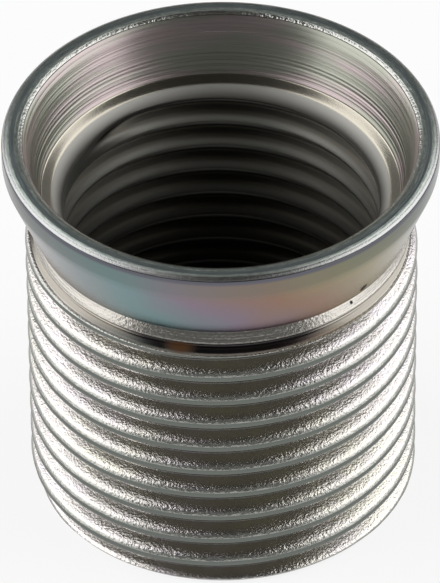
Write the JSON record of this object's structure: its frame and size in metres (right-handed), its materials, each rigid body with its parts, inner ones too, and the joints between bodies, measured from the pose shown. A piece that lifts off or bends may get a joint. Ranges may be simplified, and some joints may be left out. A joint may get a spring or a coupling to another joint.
{
  "type": "threaded insert",
  "caption": "Thin-walled flanged sleeve, threaded inside and out, that gives a worn or soft hole a strong new thread.",
  "frame": {"origin": "centre of the plain end, at the foot of the insert", "axes": "+Z along the axis from the plain end to the flanged mouth, -Y towards the viewer of the picture"},
  "size_m": [0.0176, 0.0176, 0.0172],
  "materials": {
    "plated_steel": "bright zinc plate with a faint rainbow sheen"
  },
  "bodies": {
    "root": {"threaded_sleeve": "plated_steel"}
  },
  "joints": []
}
